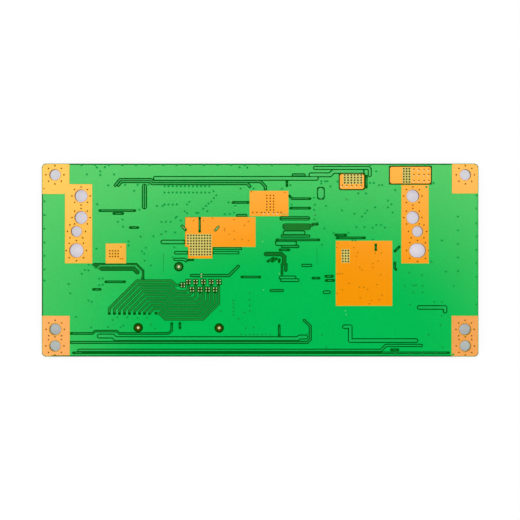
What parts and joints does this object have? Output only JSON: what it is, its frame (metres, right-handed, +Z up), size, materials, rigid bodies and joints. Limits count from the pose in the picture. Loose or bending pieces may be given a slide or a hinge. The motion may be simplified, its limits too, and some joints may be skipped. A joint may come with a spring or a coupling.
{
  "type": "television timing controller board",
  "caption": "Long narrow green circuit board seen from its solder side, with gold screw lands, corner and inner locating holes, etched traces, and connectors and chips hanging below.",
  "frame": {"origin": "on the table under the middle of the board, level with the faces of the connectors that it rests on", "axes": "X runs along the board's long side, Y across it towards the input connector, and Z up through the solder side"},
  "size_m": [0.159, 0.0702, 0.0046],
  "materials": {
    "laminate": "satin",
    "mask_over_copper": "glossy",
    "gold": "bright",
    "tin": "satin",
    "housing": "matte",
    "steel": "brushed",
    "ferrite": "matte",
    "enamelled_copper": "glossy",
    "capacitor_ceramic": "matte",
    "resistor_ceramic": "satin",
    "moulding": "matte"
  },
  "bodies": {
    "root": {"board": "laminate", "boost_inductor_core": "ferrite", "boost_inductor_shield": "ferrite", "boost_inductor_terminals": "tin", "boost_inductor_winding": "enamelled_copper", "buck_inductor_core": "ferrite", "buck_inductor_shield": "ferrite", "buck_inductor_terminals": "tin", "buck_inductor_winding": "enamelled_copper", "bundle_traces": "mask_over_copper", "bus_traces": "mask_over_copper", "connector_anchors": "tin", "converter_chip_body": "moulding", "converter_chip_leads": "tin", "crystal_base": "resistor_ceramic", "crystal_can": "steel", "diode_bodies": "moulding", "diode_leads": "tin", "fiducial_dots": "gold", "flash_memory_body": "moulding", "flash_memory_leads": "tin", "ground_pour": "mask_over_copper", "input_connector_contacts": "tin", "input_connector_housing": "housing", "input_connector_shell": "steel", "land_bottom_left": "gold", "land_bottom_right": "gold", "land_converter": "gold", "land_heat_spreader": "gold", "land_left": "gold", "land_left_middle": "gold", "land_processor": "gold", "land_regulator": "gold", "land_right_column": "gold", "land_top_right": "gold", "land_upper_middle": "gold", "large_capacitor_bodies": "capacitor_ceramic", "large_capacitor_ends": "tin", "left_output_contacts": "tin", "left_output_housing": "housing", "level_shifter_body": "moulding", "level_shifter_leads": "tin", "power_chip_body": "moulding", "power_chip_leads": "tin", "reference_chip_body": "moulding", "reference_chip_leads": "tin", "regulator_body": "moulding", "regulator_leads": "tin", "resistor_bodies": "resistor_ceramic", "resistor_ends": "tin", "right_output_contacts": "tin", "right_output_housing": "housing", "signal_traces": "mask_over_copper", "small_capacitor_bodies": "capacitor_ceramic", "small_capacitor_ends": "tin", "supply_traces": "mask_over_copper", "test_pads": "gold", "timing_controller_body": "moulding", "timing_controller_leads": "tin", "timing_controller_pad": "tin"}
  },
  "joints": []
}
